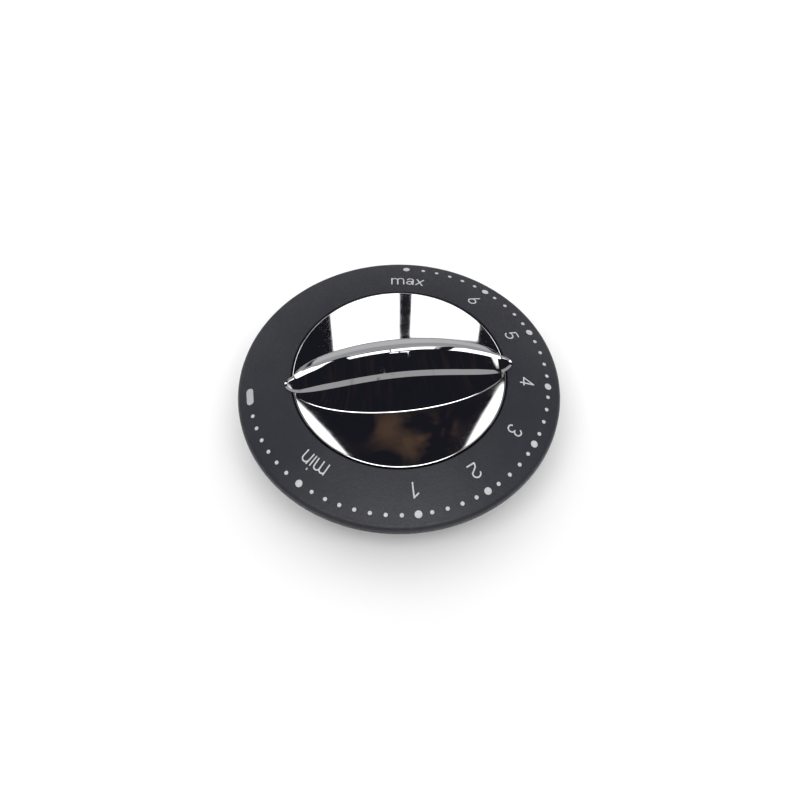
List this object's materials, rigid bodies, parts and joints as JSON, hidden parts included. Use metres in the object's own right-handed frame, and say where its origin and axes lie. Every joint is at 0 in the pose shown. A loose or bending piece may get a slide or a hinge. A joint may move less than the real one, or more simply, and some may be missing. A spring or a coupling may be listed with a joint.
{
  "type": "rotary control dial",
  "caption": "Skirted level dial with a chrome bar grip and an off-min-max scale, on the shaft of a bracket-mounted rotary control.",
  "frame": {"origin": "on the spindle's axis, midway between the bracket's two screw holes, on the bracket's front face", "axes": "+Z along the spindle towards the face of the dial; the bracket's screw holes lie on X; at rest the grip lies along X with the off mark at -X; the terminals point to -Y"},
  "size_m": [0.066, 0.066, 0.0244],
  "materials": {
    "skirt_plastic": "fine spark-eroded grain, dark blue-grey",
    "grey_print": "pad print, light grey",
    "white_print": "pad print, off-white",
    "chrome_plating": "bright chrome plating, mirror",
    "black_nylon": "moulded black nylon",
    "spring_steel": "rolled spring steel",
    "zinc_steel": "bright zinc plate",
    "nickel_brass": "nickel-washed brass, machined",
    "zinc_plate": "zinc-plated sheet",
    "die_cast": "die-cast zinc, satin",
    "shaft_steel": "turned, fine lathe lines",
    "blued_steel": "blued spring steel",
    "white_acetal": "moulded natural acetal",
    "phosphor_bronze": "phosphor bronze strip",
    "phenolic": "pressed phenolic paper",
    "carbon_film": "printed carbon",
    "silver_film": "printed silver",
    "tinned_brass": "hot-tinned brass",
    "rivet_brass": "rolled brass eyelet",
    "case_steel": "drawn and tinned steel"
  },
  "bodies": {
    "control_body": {"bush_nut": "nickel_brass", "lock_washer": "zinc_steel", "mounting_bracket": "zinc_plate", "bush_plate": "die_cast", "element_wafer": "phenolic", "resistive_track": "carbon_film", "collector_ring": "silver_film", "terminals": "tinned_brass", "terminal_rivets": "rivet_brass", "rear_case": "case_steel"},
    "dial": {"dial_skirt": "skirt_plastic", "off_mark": "grey_print", "scale_dots": "white_print", "scale_legend": "white_print", "grip_cap": "chrome_plating", "knob_hub": "black_nylon", "shaft_spring": "spring_steel", "cap_screws": "zinc_steel", "control_shaft": "shaft_steel", "shaft_circlip": "blued_steel", "rotor": "white_acetal", "wiper_spring": "phosphor_bronze"}
  },
  "joints": [
    {"name": "dial_turn", "type": "hinge", "parent": "control_body", "child": "dial", "pos_m": [0, 0, 0], "axis": [0, 0, -1], "range_deg": [0, 260]}
  ]
}
